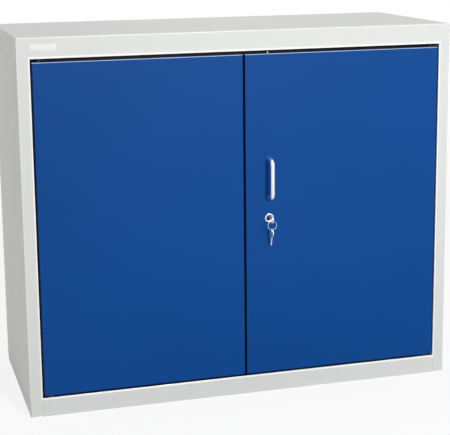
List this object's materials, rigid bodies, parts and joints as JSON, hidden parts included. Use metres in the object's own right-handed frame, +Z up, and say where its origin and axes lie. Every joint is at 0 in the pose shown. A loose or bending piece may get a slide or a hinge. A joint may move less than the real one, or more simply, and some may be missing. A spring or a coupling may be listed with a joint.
{
  "type": "hazardous materials cabinet",
  "caption": "Low steel cupboard with hinged doors, rod lock, bow handle, tray shelf and sump tray for hazardous materials.",
  "frame": {"origin": "on the floor, in the middle of the box round the cupboard and its handle", "axes": "+X to the right seen from the front, +Y from the doors to the back panel, +Z up"},
  "size_m": [0.95, 0.43, 0.8],
  "materials": {
    "grey_paint": "light grey powder coat, fine orange peel, semi-gloss",
    "blue_paint": "gentian blue powder coat, fine orange peel, semi-gloss",
    "galvanised": "galvanised sheet, dull",
    "zinc": "bright zinc plate",
    "chrome": "polished chrome plate",
    "nickel": "nickel plate, lightly brushed",
    "plug_metal": "dark bronzed brass",
    "rivet_metal": "plain rivet, satin",
    "plate_metal": "bare plate, satin, with no print",
    "nylon": "moulded, matt",
    "rubber": "moulded, matt"
  },
  "bodies": {
    "carcass": {"left_side_panel": "grey_paint", "right_side_panel": "grey_paint", "left_stile": "grey_paint", "right_stile": "grey_paint", "left_door_stop": "grey_paint", "right_door_stop": "grey_paint", "left_rear_flange": "grey_paint", "right_rear_flange": "grey_paint", "top_panel": "grey_paint", "rear_top_strip": "grey_paint", "top_rail": "grey_paint", "floor_panel": "grey_paint", "front_plinth": "grey_paint", "rear_plinth": "grey_paint", "left_runner": "grey_paint", "right_runner": "grey_paint", "bottom_door_stop": "grey_paint", "back_panel": "grey_paint", "back_rivets": "rivet_metal", "label_plate": "plate_metal", "left_front_upright": "grey_paint", "left_rear_upright": "grey_paint", "right_front_upright": "grey_paint", "right_rear_upright": "grey_paint", "shelf_clips": "zinc", "tray_shelf": "galvanised", "sump_tray": "galvanised", "door_buffers": "rubber", "top_pivot_pins": "zinc", "bottom_pivot_pins": "zinc", "pivot_washers": "nylon"},
    "left_door": {"left_door_panel": "blue_paint", "left_door_stiffener": "blue_paint", "left_door_bushes": "nylon", "bolt_guides": "zinc"},
    "top_bolt": {"top_draw_bolt": "zinc"},
    "bottom_bolt": {"bottom_draw_bolt": "zinc"},
    "right_door": {"right_door_panel": "blue_paint", "right_door_stiffener": "blue_paint", "right_door_bushes": "nylon", "handle": "chrome", "handle_screws": "zinc", "rod_guides": "zinc", "lock_housing": "chrome", "lock_nut": "zinc"},
    "lock": {"lock_plug": "plug_metal", "lock_cam": "zinc"},
    "upper_rod": {"upper_lock_rod": "zinc"},
    "lower_rod": {"lower_lock_rod": "zinc"},
    "key": {"key": "nickel"},
    "ring": {"key_ring": "chrome"},
    "spare": {"spare_key": "nickel"}
  },
  "joints": [
    {"name": "left_door_hinge", "type": "hinge", "parent": "carcass", "child": "left_door", "pos_m": [-0.4305, -0.177, 0.4], "axis": [0, 0, -1], "range_deg": [0, 110]},
    {"name": "top_bolt_slide", "type": "slide", "parent": "left_door", "child": "top_bolt", "axis": [0, 0, 1], "range_m": [0, 0.014]},
    {"name": "bottom_bolt_slide", "type": "slide", "parent": "left_door", "child": "bottom_bolt", "axis": [0, 0, -1], "range_m": [0, 0.014]},
    {"name": "right_door_hinge", "type": "hinge", "parent": "carcass", "child": "right_door", "pos_m": [0.4305, -0.177, 0.4], "axis": [0, 0, 1], "range_deg": [0, 110]},
    {"name": "lock_turn", "type": "hinge", "parent": "right_door", "child": "lock", "pos_m": [0.0545, -0.1875, 0.394], "axis": [0, 1, 0], "range_deg": [0, 90]},
    {"name": "upper_rod_slide", "type": "slide", "parent": "right_door", "child": "upper_rod", "axis": [0, 0, 1], "range_m": [0, 0.01202]},
    {"name": "lower_rod_slide", "type": "slide", "parent": "right_door", "child": "lower_rod", "axis": [0, 0, -1], "range_m": [0, 0.01202]},
    {"name": "key_slide", "type": "slide", "parent": "lock", "child": "key", "axis": [0, -1, 0], "range_m": [0, 0.03]},
    {"name": "ring_swing", "type": "hinge", "parent": "key", "child": "ring", "pos_m": [0.0545, -0.207, 0.38769], "axis": [0, 1, 0], "range_deg": [-90, 0]},
    {"name": "spare_key_swing", "type": "hinge", "parent": "ring", "child": "spare", "pos_m": [0.0545, -0.207, 0.37205], "axis": [1, 0, 0], "range_deg": [-60, 10]}
  ],
  "couplings": [
    {"joint": "lock_turn", "follows": "upper_rod_slide", "rad_per_m": 130.67},
    {"joint": "lower_rod_slide", "follows": "upper_rod_slide", "ratio": 1},
    {"joint": "ring_swing", "follows": "upper_rod_slide", "rad_per_m": -130.67}
  ]
}
